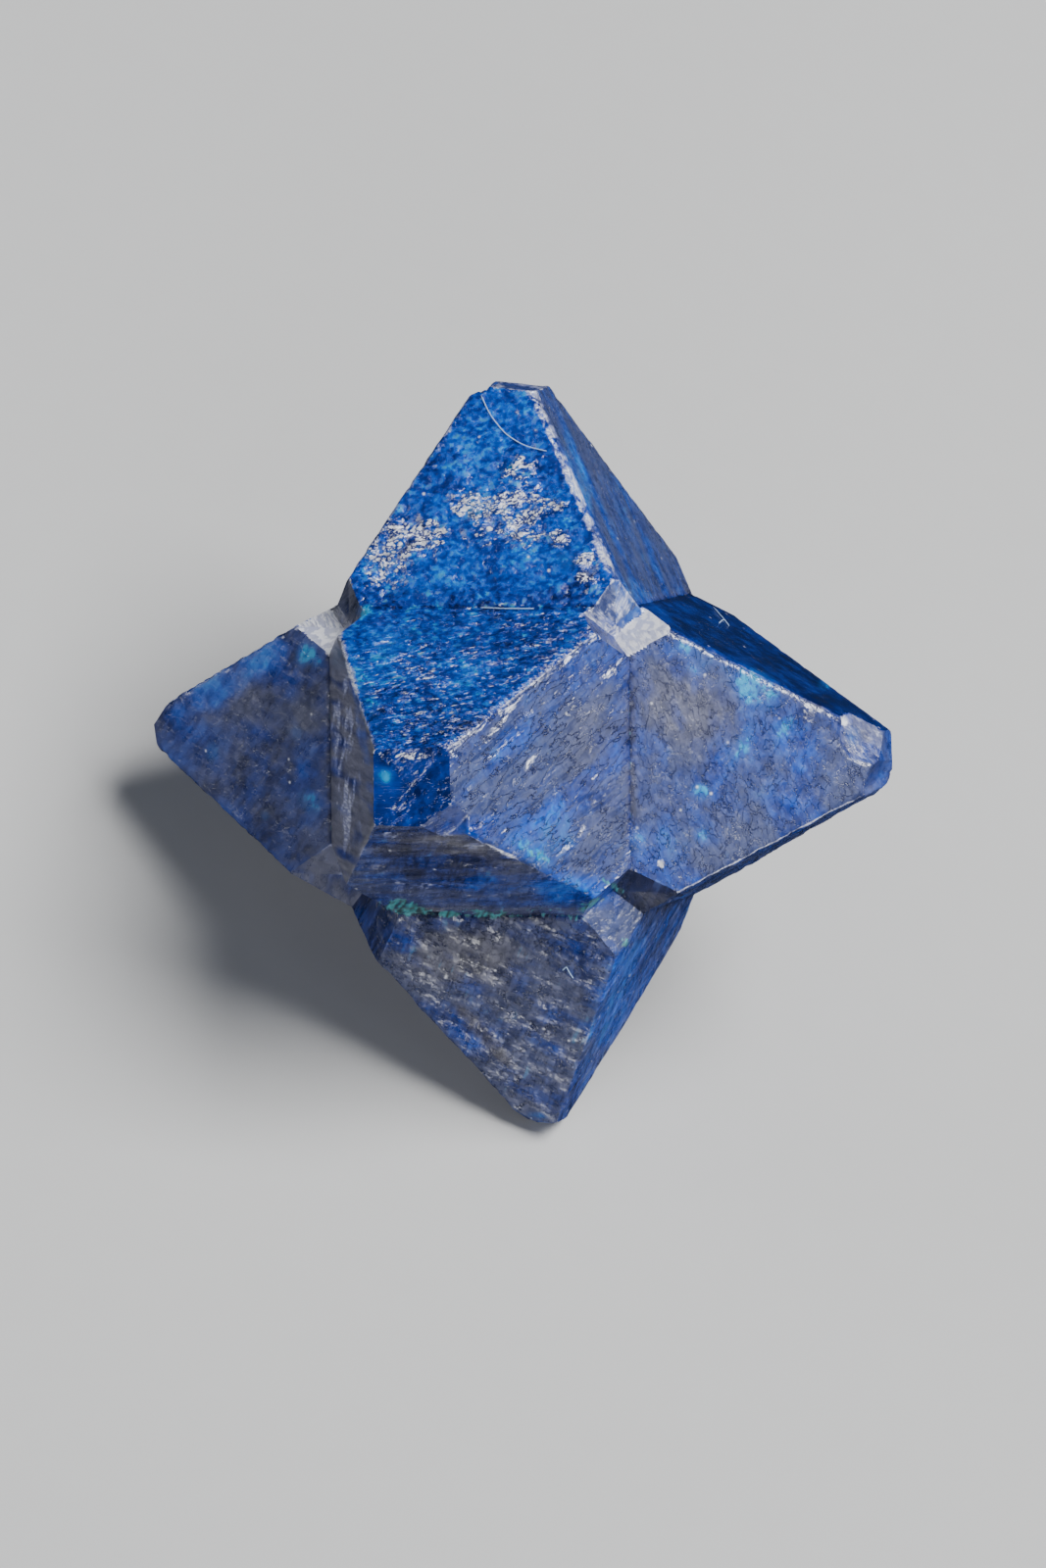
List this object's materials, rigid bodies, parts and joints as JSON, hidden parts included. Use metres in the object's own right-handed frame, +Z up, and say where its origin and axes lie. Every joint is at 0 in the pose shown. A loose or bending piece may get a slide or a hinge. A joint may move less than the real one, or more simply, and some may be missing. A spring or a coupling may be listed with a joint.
{
  "type": "cumengeite crystal star",
  "caption": "Star of blue cumengeite: blunt pyramids intergrown on the sides of a cube, leaning back on worn ridges.",
  "frame": {"origin": "on the surface it rests on, under the middle of its box", "axes": "+Z up from the surface it rests on, -Y towards the side the front pyramid faces, +X towards the right pyramid"},
  "size_m": [0.0164, 0.0152, 0.0127],
  "materials": {
    "cumengeite": "deep blue crystal, glassy to satin, with a grey-lavender sheen, pale worn ridges and green crust in the grooves"
  },
  "bodies": {
    "root": {"cumengeite_star": "cumengeite"}
  },
  "joints": []
}
